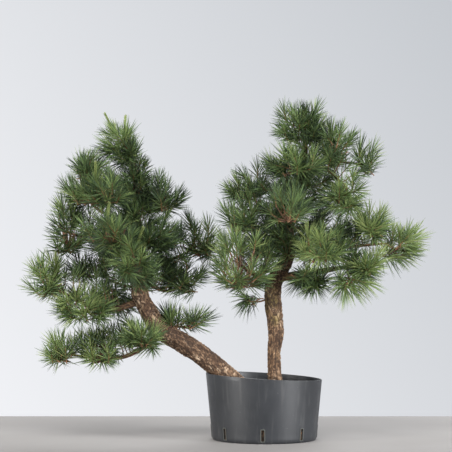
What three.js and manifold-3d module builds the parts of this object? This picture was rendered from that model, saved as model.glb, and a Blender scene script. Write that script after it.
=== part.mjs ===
// Two young pines trained as bonsai in one low round nursery pot: one leans out over the rim, the other
// stands upright and leans back over it. Millimetres, +Z up, +X to the right of the front view, the front
// faces -Y. The origin is the centre of the pot's flat underside.
import * as THREE from "three";
import { mergeVertices } from "three/addons/utils/BufferGeometryUtils.js";
import Module from "manifold-3d";

const wasm = await Module();
wasm.setup();

// ---------------------------------------------------------------------------------------------------------
// Driving dimensions
// ---------------------------------------------------------------------------------------------------------

const GAP = 0.3; // between any two pieces that touch
const CLUMP_GAP = 2; // between neighbouring clumps of foliage

const pot = {
  rimDiameter: 380, // outside, at the pot's mean height
  footDiameter: 344, // outside, just above the rounded foot
  height: 205, // mean height of the rim
  rimSlope: 3.3, // degrees: the rim was cut off out of level, higher on the -X side
  wall: 3,
  floor: 4,
  footHeight: 20, // of the rounded foot
  footInset: 7, // how far the foot draws in
  sides: 48,
};

const slot = {
  count: 8, // drainage slots round the foot
  turn: -3, // degrees that the front slot stands off -Y
  width: 10,
  height: 36,
  bottom: 9,
  border: 3, // width of the raised border round each slot
  proud: 1, // how far the border stands out
};

const soil = {
  belowRim: 30, // from the pot's mean rim height down to the soil
  crown: 7, // how much higher it lies in the middle
};

const RIM_CLEARANCE = 6; // between the leaning trunk and the rim below it
const LEAN = 38; // degrees: slope of the trunk where it passes over the rim
const TREE_SPACING = 226; // from the leaning trunk where it passes over the rim to the upright trunk

const branchlet = {
  diameter: 8,
  tipDiameter: 4,
  bow: 0.08, // sag as a share of the length
  held: 12, // how deep its end sits in the clump that it carries
};

// Each tree is laid out from its own base point. A trunk's points are [x, y, z, diameter] and run from the
// buried root to the tip. A bough leaves the trunk at a share (from) of the trunk's length and passes its
// mid point to its tip. A clump of foliage hangs on a limb (on) at a share (at) of that limb's length, and
// its size is the envelope of its needles along X, Y and Z.
const leaning = {
  name: "leaning_tree",
  trunk: [
    [150, 0, -145, 84],
    [85, 0, -76, 72],
    [0, 0, 0, 66],
    [-86, -4, 54, 66],
    [-142, -8, 88, 65],
    [-171, -10, 121, 62],
    [-194, -10, 161, 59],
    [-214, -10, 203, 57],
    [-220, -8, 246, 54],
    [-228, 0, 315, 48],
    [-218, 8, 387, 42],
    [-235, 12, 470, 36],
    [-225, 8, 552, 29],
    [-241, 0, 634, 21],
    [-254, -4, 696, 12],
    [-250, -6, 738, 7],
  ],
  boughs: {
    lowest_left: { from: 0.35, mid: [-270, -30, 5], tip: [-470, -35, 15], diameter: 20, tipDiameter: 7 },
    low_left: { from: 0.47, mid: [-335, -25, 160], tip: [-490, -30, 225], diameter: 26, tipDiameter: 9 },
    rear_left: { from: 0.51, mid: [-295, 50, 245], tip: [-395, 95, 295], diameter: 12, tipDiameter: 5 },
    low_right: { from: 0.54, mid: [-125, 5, 220], tip: [-40, 20, 270], diameter: 14, tipDiameter: 6 },
    right: { from: 0.58, mid: [-100, 25, 330], tip: [-10, 45, 380], diameter: 16, tipDiameter: 6 },
    mid_left: { from: 0.62, mid: [-340, 5, 370], tip: [-460, 15, 415], diameter: 18, tipDiameter: 7 },
    front: { from: 0.63, mid: [-240, -75, 360], tip: [-285, -130, 395], diameter: 15, tipDiameter: 6 },
    back: { from: 0.68, mid: [-255, 75, 395], tip: [-290, 125, 390], diameter: 14, tipDiameter: 6 },
    upper_left: { from: 0.73, mid: [-335, -20, 475], tip: [-420, -25, 550], diameter: 15, tipDiameter: 6 },
    shoulder_right: { from: 0.78, mid: [-200, 0, 530], tip: [-125, 0, 530], diameter: 13, tipDiameter: 6 },
  },
  clumps: [
    { name: "crown", centre: [-280, -10, 705], size: [165, 195, 170], on: "trunk", at: 0.96 },
    { name: "upper_left", centre: [-380, -45, 645], size: [135, 160, 130], on: "trunk", at: 0.85 },
    { name: "shoulder_left", centre: [-420, -25, 565], size: [150, 175, 120], on: "upper_left", at: 0.9 },
    { name: "upper_front", centre: [-315, -120, 545], size: [175, 175, 165], on: "upper_left", at: 0.35 },
    { name: "shoulder_right", centre: [-150, 0, 540], size: [175, 185, 145], on: "shoulder_right", at: 0.8 },
    { name: "mid_left", centre: [-475, 20, 445], size: [150, 185, 180], on: "mid_left", at: 0.9 },
    { name: "mid_front", centre: [-305, -145, 420], size: [185, 185, 160], on: "front", at: 0.9 },
    { name: "mid_right", centre: [-150, -60, 400], size: [160, 185, 145], on: "trunk", at: 0.64 },
    { name: "far_right", centre: [-15, 50, 400], size: [140, 150, 145], on: "right", at: 0.9 },
    { name: "low_front", centre: [-225, -145, 315], size: [180, 195, 170], on: "trunk", at: 0.56 },
    { name: "low_right", centre: [-65, 20, 275], size: [170, 175, 150], on: "low_right", at: 0.8 },
    { name: "far_left", centre: [-525, -25, 260], size: [145, 175, 150], on: "low_left", at: 0.95 },
    { name: "low_left", centre: [-380, -75, 185], size: [200, 195, 130], on: "low_left", at: 0.6 },
    { name: "rear_left", centre: [-390, 95, 305], size: [180, 175, 100], on: "rear_left", at: 0.9 },
    { name: "trunk_front", centre: [-200, -120, 80], size: [160, 140, 115], on: "lowest_left", at: 0.15 },
    { name: "lowest_left", centre: [-490, -25, 35], size: [145, 160, 145], on: "lowest_left", at: 0.95 },
    { name: "lowest", centre: [-340, -55, 30], size: [170, 185, 150], on: "lowest_left", at: 0.6 },
    { name: "low_sprig", centre: [-55, 0, 135], size: [160, 115, 105], on: "trunk", at: 0.31 },
    { name: "upper_back", centre: [-275, 120, 575], size: [190, 185, 160], on: "trunk", at: 0.8 },
    { name: "mid_back", centre: [-295, 140, 390], size: [205, 195, 160], on: "back", at: 0.9 },
    { name: "low_back", centre: [-310, 115, 190], size: [190, 185, 135], on: "rear_left", at: 0.4 },
  ],
};

const upright = {
  name: "upright_tree",
  trunk: [
    [3, 0, -56, 62],
    [0, 0, 3, 50],
    [-3, 0, 115, 44],
    [2, 2, 164, 51],
    [-8, 4, 292, 57],
    [-5, 4, 335, 56],
    [17, 2, 371, 51],
    [36, 0, 404, 47],
    [46, -4, 443, 44],
    [43, -6, 502, 40],
    [59, -4, 581, 34],
    [82, 2, 667, 28],
    [99, 6, 766, 20],
    [99, 4, 851, 12],
    [92, 0, 900, 7],
  ],
  boughs: {
    left: { from: 0.41, mid: [-65, -35, 360], tip: [-130, -70, 405], diameter: 20, tipDiameter: 8 },
    right: { from: 0.42, mid: [155, -30, 375], tip: [280, -55, 395], diameter: 30, tipDiameter: 9 },
    mid_right: { from: 0.54, mid: [175, -20, 450], tip: [365, 0, 465], diameter: 20, tipDiameter: 7 },
    low_back: { from: 0.56, mid: [5, 75, 485], tip: [-20, 125, 495], diameter: 13, tipDiameter: 6 },
    back: { from: 0.6, mid: [105, 75, 520], tip: [175, 130, 525], diameter: 14, tipDiameter: 6 },
    front: { from: 0.64, mid: [50, -75, 560], tip: [40, -125, 580], diameter: 14, tipDiameter: 6 },
    mid_left: { from: 0.65, mid: [-15, -25, 565], tip: [-100, -45, 575], diameter: 15, tipDiameter: 6 },
    upper_left: { from: 0.72, mid: [-10, 0, 640], tip: [-95, 15, 670], diameter: 13, tipDiameter: 6 },
    upper_right: { from: 0.79, mid: [160, -35, 705], tip: [230, -60, 650], diameter: 14, tipDiameter: 6 },
    fan_right: { from: 0.84, mid: [200, 15, 735], tip: [300, 30, 730], diameter: 9, tipDiameter: 5 },
  },
  clumps: [
    { name: "crown", centre: [90, 0, 875], size: [190, 205, 160], on: "trunk", at: 0.95 },
    { name: "upper_right", centre: [200, -25, 800], size: [130, 175, 175], on: "trunk", at: 0.87 },
    { name: "fan_right", centre: [320, 30, 740], size: [130, 125, 150], on: "fan_right", at: 0.9 },
    { name: "upper_front", centre: [70, -85, 730], size: [195, 175, 140], on: "trunk", at: 0.81 },
    { name: "upper_left", centre: [-105, 15, 670], size: [165, 175, 130], on: "upper_left", at: 0.9 },
    { name: "mid_left", centre: [-105, -50, 565], size: [155, 185, 130], on: "mid_left", at: 0.9 },
    { name: "mid_front", centre: [35, -135, 590], size: [175, 185, 165], on: "front", at: 0.9 },
    { name: "mid_right", centre: [225, -70, 625], size: [175, 195, 160], on: "upper_right", at: 0.9 },
    { name: "right", centre: [320, -55, 525], size: [135, 175, 145], on: "mid_right", at: 0.75 },
    { name: "far_right", centre: [430, 15, 465], size: [160, 175, 160], on: "mid_right", at: 0.95 },
    { name: "low_left", centre: [-105, -80, 410], size: [205, 205, 180], on: "left", at: 0.9 },
    { name: "low_front", centre: [135, -130, 455], size: [180, 175, 135], on: "right", at: 0.35 },
    { name: "low_right", centre: [285, -60, 400], size: [145, 175, 115], on: "right", at: 0.9 },
    { name: "under_right", centre: [100, -70, 330], size: [110, 125, 90], on: "right", at: 0.3 },
    { name: "lowest_right", centre: [250, -95, 310], size: [180, 175, 125], on: "right", at: 0.75 },
    { name: "low_sprig", centre: [-100, -35, 265], size: [105, 115, 100], on: "trunk", at: 0.38 },
    { name: "upper_back", centre: [90, 120, 700], size: [215, 195, 175], on: "trunk", at: 0.74 },
    { name: "mid_back", centre: [190, 145, 520], size: [230, 195, 175], on: "back", at: 0.9 },
    { name: "low_back", centre: [-20, 140, 485], size: [215, 195, 175], on: "low_back", at: 0.9 },
  ],
};

// ---------------------------------------------------------------------------------------------------------
// Solids
// ---------------------------------------------------------------------------------------------------------

// A closed three.js geometry as a manifold solid.
function solid(geometry) {
  geometry.deleteAttribute("normal");
  geometry.deleteAttribute("uv");
  const merged = mergeVertices(geometry, 1e-3);
  const mesh = new wasm.Mesh({
    numProp: 3,
    vertProperties: merged.attributes.position.array,
    triVerts: new Uint32Array(merged.index.array),
  });
  return new wasm.Manifold(mesh);
}

// The largest body of a solid that a cut has left in several.
function largestBody(cut) {
  return cut.decompose().reduce((a, b) => (a.volume() >= b.volume() ? a : b));
}

// A manifold solid as a named three.js mesh.
function piece(name, made, material) {
  const { numProp, vertProperties, triVerts } = made.getMesh();
  const position = new Float32Array((vertProperties.length / numProp) * 3);
  for (let i = 0; i < position.length / 3; i++) {
    position.set(vertProperties.subarray(i * numProp, i * numProp + 3), i * 3);
  }
  const geometry = new THREE.BufferGeometry();
  geometry.setAttribute("position", new THREE.BufferAttribute(position, 3));
  geometry.setIndex(new THREE.BufferAttribute(triVerts, 1));
  geometry.computeVertexNormals();
  const mesh = new THREE.Mesh(geometry, material);
  mesh.name = name;
  return mesh;
}

// A profile of [radius, height] points turned about the Z axis. Points run anticlockwise, so that the
// faces point out.
function turned(profile, sides) {
  const points = profile.map(([radius, height]) => new THREE.Vector2(radius, height));
  return solid(new THREE.LatheGeometry(points, sides).rotateX(Math.PI / 2));
}

// A box standing across the -Y side of the Z axis, turned about the axis by some degrees.
function radialBox(width, depth, low, high, radius, degrees) {
  const box = new THREE.BoxGeometry(width, depth, high - low);
  box.translate(0, -radius, (low + high) / 2);
  box.rotateZ(THREE.MathUtils.degToRad(degrees));
  return solid(box);
}

// ---------------------------------------------------------------------------------------------------------
// The pot and its soil
// ---------------------------------------------------------------------------------------------------------

const rimRadius = pot.rimDiameter / 2;
const rimRise = Math.tan(THREE.MathUtils.degToRad(pot.rimSlope)); // rim height gained per mm towards -X

// The pot's outside radius at a height: a quarter-ellipse foot under a straight flaring wall.
function wallRadius(z) {
  const foot = pot.footDiameter / 2;
  if (z < pot.footHeight) {
    const down = 1 - z / pot.footHeight;
    return foot - pot.footInset * (1 - Math.sqrt(1 - down * down));
  }
  return foot + ((rimRadius - foot) * (z - pot.footHeight)) / (pot.height - pot.footHeight);
}

const footSteps = 3; // rings up the rounded foot
const footHeights = Array.from({ length: footSteps + 1 }, (_, i) => (pot.footHeight * i) / footSteps);

function makePot() {
  const top = pot.height + rimRise * rimRadius * 1.1; // tall enough for the slanting cut
  const outside = [...footHeights, top].map((z) => [wallRadius(z), z]);
  const inside = [top, pot.footHeight, pot.floor].map((z) => [wallRadius(z) - pot.wall, z]);
  const profile = [[0, 0], ...outside, ...inside, [0, pot.floor]];
  let made = turned(profile, pot.sides);

  const low = slot.bottom - slot.border;
  const high = slot.bottom + slot.height + slot.border;
  const heights = [low, ...footHeights.filter((z) => z > low), high];
  const collar = turned(
    [
      ...heights.map((z) => [wallRadius(z) + slot.proud, z]),
      ...heights.reverse().map((z) => [wallRadius(z) - pot.wall / 2, z]),
      [wallRadius(low) + slot.proud, low],
    ],
    pot.sides,
  );
  const foot = pot.footDiameter / 2;
  const slotDepth = 40; // of the cutting box, through the wall both ways
  for (let i = 0; i < slot.count; i++) {
    const turn = slot.turn + (360 * i) / slot.count;
    const bordered = radialBox(slot.width + 2 * slot.border, slotDepth, low, high, foot, turn);
    made = made.add(collar.intersect(bordered));
  }
  for (let i = 0; i < slot.count; i++) {
    const turn = slot.turn + (360 * i) / slot.count;
    made = made.subtract(
      radialBox(slot.width, slotDepth, slot.bottom, slot.bottom + slot.height, foot, turn),
    );
  }

  const down = new THREE.Vector3(-rimRise, 0, -1).normalize();
  return made.trimByPlane(down.toArray(), -pot.height * -down.z);
}

const soilLevel = pot.height - soil.belowRim;

function makeSoil(wood) {
  const inset = pot.wall + GAP;
  const bottom = pot.floor + GAP;
  const edge = wallRadius(soilLevel) - inset;
  const profile = [
    [0, bottom],
    [wallRadius(pot.floor) - inset, bottom],
    [wallRadius(pot.footHeight) - inset, pot.footHeight],
    [edge, soilLevel],
    [edge * 0.6, soilLevel + soil.crown],
    [0, soilLevel + soil.crown],
  ];
  return turned(profile, pot.sides).subtract(wood);
}

// ---------------------------------------------------------------------------------------------------------
// The trees
// ---------------------------------------------------------------------------------------------------------

const xyz = ([x, y, z]) => new THREE.Vector3(x, y, z);

// The smooth centre line of a limb through its points.
function centreLine(points) {
  return new THREE.CatmullRomCurve3(points.map(xyz), false, "centripetal");
}

// A limb: a closed cylinder bent along its centre line and tapered through its diameters. grow widens and
// lengthens it all round.
function limb(points, sides, steps, grow = 0) {
  const line = centreLine(points);
  const frames = line.computeFrenetFrames(steps);
  const tube = new THREE.CylinderGeometry(1, 1, 1, sides, steps);
  const position = tube.attributes.position;
  for (let i = 0; i < position.count; i++) {
    const along = position.getY(i) + 0.5;
    const ring = Math.round(along * steps);
    const at = line.getUtoTmapping(along) * (points.length - 1);
    const first = Math.min(Math.floor(at), points.length - 2);
    const diameter = THREE.MathUtils.lerp(points[first][3], points[first + 1][3], at - first);
    const radius = diameter / 2 + grow;
    const end = ring === 0 ? -grow : ring === steps ? grow : 0;
    const where = line
      .getPointAt(along)
      .addScaledVector(frames.tangents[ring], end)
      .addScaledVector(frames.binormals[ring], position.getX(i) * radius)
      .addScaledVector(frames.normals[ring], position.getZ(i) * radius);
    position.setXYZ(i, where.x, where.y, where.z);
  }
  return solid(tube);
}

// A limb's points from a start through a middle to an end.
function threePoints(start, middle, end, diameter, tipDiameter) {
  return [
    [...start, diameter],
    [...middle, (diameter + tipDiameter) / 2],
    [...end, tipDiameter],
  ];
}

// The distance from the centre of an ellipsoid of some size to its surface in a direction.
function reach(size, direction) {
  const [rx, ry, rz] = size.map((side) => side / 2);
  return 1 / Math.hypot(direction.x / rx, direction.y / ry, direction.z / rz);
}

// Every limb of a tree, as its points with the number of sides and rings that it is drawn with.
function limbsOf(tree, base) {
  const place = ([x, y, z, ...rest]) => [x + base.x, y + base.y, z + base.z, ...rest];
  const limbs = { trunk: { points: tree.trunk.map(place), sides: 12, steps: 20 } };
  const trunkLine = centreLine(limbs.trunk.points);
  for (const [name, bough] of Object.entries(tree.boughs)) {
    const start = trunkLine.getPointAt(bough.from).toArray();
    const points = threePoints(
      start,
      place(bough.mid),
      place(bough.tip),
      bough.diameter,
      bough.tipDiameter,
    );
    limbs[name] = { points, sides: 6, steps: 5 };
  }
  for (const clump of tree.clumps) {
    const start = centreLine(limbs[clump.on].points).getPointAt(clump.at);
    const inward = xyz(place(clump.centre)).sub(start);
    const gap = inward.length() - reach(clump.size, inward.clone().normalize());
    if (gap <= 0) {
      continue; // the limb itself runs into the clump
    }
    const length = gap + branchlet.held;
    const end = start.clone().addScaledVector(inward.normalize(), length);
    const middle = start.clone().lerp(end, 0.5);
    middle.z -= branchlet.bow * length;
    const points = threePoints(
      start.toArray(),
      middle.toArray(),
      end.toArray(),
      branchlet.diameter,
      branchlet.tipDiameter,
    );
    limbs["to_" + clump.name] = { points, sides: 5, steps: 2 };
  }
  return limbs;
}

function makeWood(limbs, grow = 0) {
  const solids = Object.values(limbs).map(({ points, sides, steps }) => limb(points, sides, steps, grow));
  return solids.reduce((whole, next) => whole.add(next));
}

// The foliage clumps of all trees: ellipsoids, each cut off flat where it would run into a neighbour, and
// hollowed where wood passes through it.
function makeClumps(clumps, wood) {
  const whole = clumps.map(({ centre, size }) => {
    const ball = new THREE.SphereGeometry(0.5, 11, 6).rotateX(Math.PI / 2);
    return solid(ball.scale(...size).translate(...centre.toArray()));
  });
  return clumps.map((clump, i) => {
    let made = whole[i];
    clumps.forEach((other, j) => {
      if (i === j || whole[i].intersect(whole[j]).volume() === 0) {
        return;
      }
      const away = other.centre.clone().sub(clump.centre);
      const distance = away.length();
      away.normalize();
      const share = reach(clump.size, away) / (reach(clump.size, away) + reach(other.size, away));
      const face = away.dot(clump.centre) + distance * share - CLUMP_GAP / 2;
      made = made.trimByPlane(away.clone().negate().toArray(), -face);
    });
    return largestBody(made.subtract(wood));
  });
}

// ---------------------------------------------------------------------------------------------------------
// The whole plant
// ---------------------------------------------------------------------------------------------------------

const materials = {
  pot: new THREE.MeshStandardMaterial({ color: 0x565a5e, roughness: 0.5, metalness: 0 }),
  soil: new THREE.MeshStandardMaterial({ color: 0x3a2f26, roughness: 1, metalness: 0 }),
  bark: new THREE.MeshStandardMaterial({ color: 0x7d6349, roughness: 0.9, metalness: 0 }),
  needles: new THREE.MeshStandardMaterial({ color: 0x46592b, roughness: 0.6, metalness: 0 }),
};

// The leaning trunk's base point lies on its centre line where it passes over the rim.
const overRim = leaning.trunk.find(([x]) => x === 0)[3] / 2 / Math.cos(THREE.MathUtils.degToRad(LEAN));
const bases = [
  new THREE.Vector3(-rimRadius, 0, pot.height + rimRise * rimRadius + overRim + RIM_CLEARANCE),
  new THREE.Vector3(-rimRadius + TREE_SPACING, 0, soilLevel),
];
const trees = [leaning, upright];
const limbs = trees.map((tree, i) => limbsOf(tree, bases[i]));
const wood = limbs.map((list) => makeWood(list));
const grownWood = limbs.map((list) => makeWood(list, GAP)).reduce((a, b) => a.add(b));
const clumps = trees.flatMap((tree, i) =>
  tree.clumps.map(({ name, centre, size }) => ({
    name: tree.name + "_" + name,
    centre: xyz(centre).add(bases[i]),
    size,
  })),
);

const group = new THREE.Group();
group.add(piece("pot", makePot(), materials.pot));
group.add(piece("soil", makeSoil(grownWood), materials.soil));
trees.forEach((tree, i) => group.add(piece(tree.name + "_wood", wood[i], materials.bark)));
makeClumps(clumps, grownWood).forEach((made, i) => {
  group.add(piece(clumps[i].name + "_foliage", made, materials.needles));
});

export default group;
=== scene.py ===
# %% [markdown]
# # Two pines in one nursery pot
# One young pine leans far out over the rim of a low plastic pot, and a second one stands upright beside it.
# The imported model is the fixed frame: it gives every piece its place and size. Here each plain solid is
# replaced by a fine one: a moulded pot, gritty soil, barky trunks, twigs, and clumps made of real shoots.
# %% Load the frame
import math
import random

import bmesh
import bpy
import numpy as np
from mathutils import Matrix, Vector, noise


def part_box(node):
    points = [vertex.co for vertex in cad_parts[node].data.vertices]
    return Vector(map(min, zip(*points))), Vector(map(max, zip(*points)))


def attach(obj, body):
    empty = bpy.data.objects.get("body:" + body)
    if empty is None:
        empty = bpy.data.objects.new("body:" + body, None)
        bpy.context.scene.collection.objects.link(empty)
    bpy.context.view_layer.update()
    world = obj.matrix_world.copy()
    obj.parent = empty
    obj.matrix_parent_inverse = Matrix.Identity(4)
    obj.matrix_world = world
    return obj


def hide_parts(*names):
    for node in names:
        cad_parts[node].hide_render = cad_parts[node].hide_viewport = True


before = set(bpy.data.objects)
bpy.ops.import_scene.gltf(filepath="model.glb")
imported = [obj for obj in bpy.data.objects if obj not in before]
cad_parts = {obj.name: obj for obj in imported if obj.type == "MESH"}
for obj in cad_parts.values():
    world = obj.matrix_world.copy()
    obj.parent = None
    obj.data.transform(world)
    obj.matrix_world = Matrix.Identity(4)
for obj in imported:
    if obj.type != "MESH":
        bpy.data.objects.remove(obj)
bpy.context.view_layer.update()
MM = 0.001
UP = Vector((0, 0, 1))
scene = bpy.context.scene
scene.view_settings.view_transform = "Standard"
noise.seed_set(7)  # without a seed, the vector noise would differ from run to run

# %% [markdown]
# ## How a piece is finished
# Every piece is drawn as a bmesh and then handed over the same way: a mesh, one material, a place on the
# root body, and the plain solids that it stands for. One helper does this, so no
# piece can be left without its body.


# %% Hand a piece over
def mesh_from(name, bm):
    """The bmesh as a mesh. The bmesh is used up."""
    mesh = bpy.data.meshes.new(name)
    bm.to_mesh(mesh)
    bm.free()
    return mesh


def join_into(whole, extra):
    mesh = mesh_from("extra", extra)
    whole.from_mesh(mesh)
    bpy.data.meshes.remove(mesh)


def hand_over(name, bm, material, nodes=(), sharp=None):
    mesh = mesh_from(name, bm)
    mesh.materials.append(material)
    if sharp is not None:
        mesh.shade_smooth()
        mesh.set_sharp_from_angle(angle=math.radians(sharp))
    piece = bpy.data.objects.new(name, mesh)
    scene.collection.objects.link(piece)
    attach(piece, "root")
    if nodes:
        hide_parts(*nodes)
    return piece


def faces_of(piece):
    return sum(len(polygon.vertices) - 2 for polygon in piece.data.polygons)


# %% [markdown]
# ## Short words for shader nodes
# Node trees read best when each line adds one node and says what feeds it. `add` makes a node and fills its
# inputs with numbers or with other nodes' outputs. `ramp` turns a number into colours, `fade` turns it into
# greys, and `blend` mixes two colours.


# %% Shader helpers
def add(tree, kind, inputs=None, **settings):
    node = tree.nodes.new(kind)
    for key, value in settings.items():
        setattr(node, key, value)
    for key, value in (inputs or {}).items():
        if isinstance(value, bpy.types.NodeSocket):
            tree.links.new(value, node.inputs[key])
        else:
            node.inputs[key].default_value = value
    return node


def ramp(tree, factor, stops):
    node = add(tree, "ShaderNodeValToRGB", {"Fac": factor})
    elements = node.color_ramp.elements
    while len(elements) < len(stops):
        elements.new(0.5)
    for element, (place, colour) in zip(elements, stops):
        element.position = place
        element.color = (*colour, 1) if len(colour) == 3 else colour
    return node.outputs["Color"]


def grey(value):
    return (value, value, value)


def fade(tree, factor, first, last):
    """A grey ramp between two stops, each a place and a value."""
    return ramp(tree, factor, [(place, grey(value)) for place, value in (first, last)])


def blend(tree, factor, first, second, kind="MIX"):
    node = add(tree, "ShaderNodeMix", data_type="RGBA", blend_type=kind)
    for key, value in ((0, factor), (6, first), (7, second)):
        if isinstance(value, bpy.types.NodeSocket):
            tree.links.new(value, node.inputs[key])
        else:
            node.inputs[key].default_value = (*value, 1) if isinstance(value, tuple) else value
    return node.outputs[2]


def calculate(tree, operation, first, second=0.5):
    node = add(tree, "ShaderNodeMath", {0: first, 1: second}, operation=operation)
    return node.outputs[0]


def cloud(tree, where, scale, detail=3, stretch=None):
    if stretch:
        where = add(tree, "ShaderNodeMapping", {"Vector": where, "Scale": stretch}).outputs[0]
    values = {"Vector": where, "Scale": scale, "Detail": detail}
    return add(tree, "ShaderNodeTexNoise", values).outputs["Fac"]


def new_material(name):
    material = bpy.data.materials.new(name)
    material.use_nodes = True
    tree = material.node_tree
    shader = tree.nodes["Principled BSDF"]
    where = add(tree, "ShaderNodeTexCoord").outputs["Object"]
    return material, tree, shader, where


def finish_shader(tree, shader, colour, roughness, height=None, depth=0.001, strength=1.0):
    tree.links.new(colour, shader.inputs["Base Color"])
    tree.links.new(roughness, shader.inputs["Roughness"])
    if height is not None:
        bump = add(tree, "ShaderNodeBump", {"Height": height, "Distance": depth, "Strength": strength})
        tree.links.new(bump.outputs[0], shader.inputs["Normal"])


# %% [markdown]
# ## The camera
# The view is almost level, from 5 m away with a long lens, so that the pot is seen slightly from above and
# the tree tops slightly from below. The camera looks along +Y and is tipped up a little over two degrees.
# %% Camera
EYE = Vector((-0.125, -4.93, 0.50))
TIPPED_UP = 2.29  # degrees
LENS = 119.5
camera_data = bpy.data.cameras.new("camera")
camera_data.lens = LENS
camera_data.sensor_width = 36
camera_data.clip_end = 60
camera = bpy.data.objects.new("camera", camera_data)
camera.location = EYE
camera.rotation_euler = (math.radians(90 + TIPPED_UP), 0, 0)
scene.collection.objects.link(camera)
scene.camera = camera
print("camera at", tuple(round(value, 3) for value in EYE), "lens", camera_data.lens)

# %% [markdown]
# ## The nursery pot
# The real pot is injection moulded in dark grey plastic: a thin flaring wall, a rounded foot, and slots round
# the foot with a raised border each. A wall like this is one outline turned about the axis, so a spin makes
# it. The rim was cut off slightly out of level, which is done by stretching the wall more on one side.
# %% Pot sizes and outline
RIM_RADIUS = 190 * MM
FOOT_RADIUS = 172 * MM
POT_HEIGHT = 205 * MM
RIM_RISE = math.tan(math.radians(3.3))  # the rim's height gained per metre towards -X
WALL = 3 * MM
FLOOR = 4 * MM
FOOT_HEIGHT = 20 * MM
FOOT_INSET = 7 * MM


def wall_radius(z):
    if z < FOOT_HEIGHT:
        down = 1 - z / FOOT_HEIGHT
        return FOOT_RADIUS - FOOT_INSET * (1 - math.sqrt(1 - down * down))
    return FOOT_RADIUS + (RIM_RADIUS - FOOT_RADIUS) * (z - FOOT_HEIGHT) / (POT_HEIGHT - FOOT_HEIGHT)


def pot_outline():
    foot = [FOOT_HEIGHT * (1 - math.cos(math.radians(turn))) for turn in range(0, 91, 15)]
    rows = foot[1:] + [FOOT_HEIGHT + step * (POT_HEIGHT - FOOT_HEIGHT) / 16 for step in range(1, 17)]
    outside = [(0, 0), (wall_radius(0) - 2 * MM, 0), (wall_radius(0.2 * MM), 0.4 * MM)]
    outside += [(wall_radius(z), z) for z in rows]
    lip = [(RIM_RADIUS - 0.4 * MM, POT_HEIGHT + 0.7 * MM), (RIM_RADIUS - WALL / 2, POT_HEIGHT + 1 * MM)]
    lip += [(RIM_RADIUS - WALL + 0.4 * MM, POT_HEIGHT + 0.7 * MM)]
    inside = [(wall_radius(z) - WALL, z) for z in reversed(rows)]
    return outside + lip + inside + [(wall_radius(FLOOR) - WALL - 4 * MM, FLOOR), (0, FLOOR)]


def spun(outline, steps):
    bm = bmesh.new()
    verts = [bm.verts.new((radius, 0, z)) for radius, z in outline]
    edges = [bm.edges.new(pair) for pair in zip(verts, verts[1:])]
    turn = {"cent": (0, 0, 0), "axis": (0, 0, 1), "angle": math.tau, "steps": steps}
    bmesh.ops.spin(bm, geom=verts + edges, use_merge=True, **turn)
    bmesh.ops.remove_doubles(bm, verts=bm.verts, dist=1e-6)
    bmesh.ops.recalc_face_normals(bm, faces=bm.faces)
    return bm


def cut_rim_out_of_level(bm):
    for vert in bm.verts:
        z = vert.co.z
        if z <= FOOT_HEIGHT:
            continue
        share = (z - FOOT_HEIGHT) / (POT_HEIGHT - FOOT_HEIGHT)
        lifted = z - RIM_RISE * vert.co.x * share
        spread = (vert.co.xy.length + wall_radius(lifted) - wall_radius(z)) / vert.co.xy.length
        vert.co = (vert.co.x * spread, vert.co.y * spread, lifted)


pot_mesh = spun(pot_outline(), 192)
cut_rim_out_of_level(pot_mesh)
print("pot outline turned into", len(pot_mesh.faces), "faces")

# %% [markdown]
# ## Slots with raised borders
# Each border is a thin plate with rounded corners that follows the wall's curve and stands 1 mm proud, and
# the slot is a rounded hole through plate and wall. Plates are joined to the pot and holes cut from it with
# Boolean modifiers, because a hole through a turned wall is hard to draw face by face.
# %% Slots
SLOTS = 8
SLOT_TURN = -3  # degrees that the front slot stands off -Y
SLOT_WIDTH = 10 * MM
SLOT_LOW = 9 * MM
SLOT_HIGH = 45 * MM
BORDER = 3 * MM
PROUD = 1 * MM


def rounded_block(bm, width, low, high, near, far, corner):
    """A block across -Y with its four radial edges rounded; near and far are its depths."""
    made = bmesh.ops.create_cube(bm, size=1)["verts"]
    for vert in made:
        across, depth, up = vert.co
        vert.co = (across * width, far if depth > 0 else near, high if up > 0 else low)
    faces = {face for vert in made for face in vert.link_faces}
    radial = [e for e in {e for f in faces for e in f.edges} if abs(e.verts[0].co.y - e.verts[1].co.y) > MM]
    bmesh.ops.bevel(
        bm, geom=radial, offset=corner, offset_type="OFFSET", affect="EDGES", segments=4, profile=0.5,
        material=-1,
    )


def ring_of_blocks(width, low, high, near, far, corner, follow):
    ring = bmesh.new()
    for number in range(SLOTS):
        one = bmesh.new()
        rounded_block(one, width, low, high, near, far, corner)
        if follow:  # bend the plate to the foot: cut it into rows, then push each row out to the wall
            for step in range(1, 14):
                height = low + (high - low) * step / 14
                everything = one.verts[:] + one.edges[:] + one.faces[:]
                bmesh.ops.bisect_plane(one, geom=everything, plane_co=(0, 0, height), plane_no=(0, 0, 1))
            for vert in one.verts:
                front = abs(vert.co.y - near) < 1e-5
                vert.co.y = -(wall_radius(vert.co.z) + PROUD if front else wall_radius(vert.co.z) - WALL / 2)
        turn = Matrix.Rotation(math.radians(SLOT_TURN + 360 * number / SLOTS), 3, "Z")
        bmesh.ops.transform(one, matrix=turn.to_4x4(), verts=one.verts)
        bmesh.ops.recalc_face_normals(one, faces=one.faces)
        join_into(ring, one)
    return bpy.data.objects.new("blocks", mesh_from("blocks", ring))


def changed_by(bm, *steps):
    """The bmesh after Boolean steps of (operation, object)."""
    work = bpy.data.objects.new("work", mesh_from("work", bm))
    scene.collection.objects.link(work)
    for operation, other in steps:
        scene.collection.objects.link(other)
        modifier = work.modifiers.new(operation, "BOOLEAN")
        modifier.operation, modifier.object, modifier.solver = operation, other, "EXACT"
    result = bmesh.new()
    result.from_object(work, bpy.context.evaluated_depsgraph_get())
    for used in [work] + [other for _, other in steps]:
        bpy.data.objects.remove(used)
    return result


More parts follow.
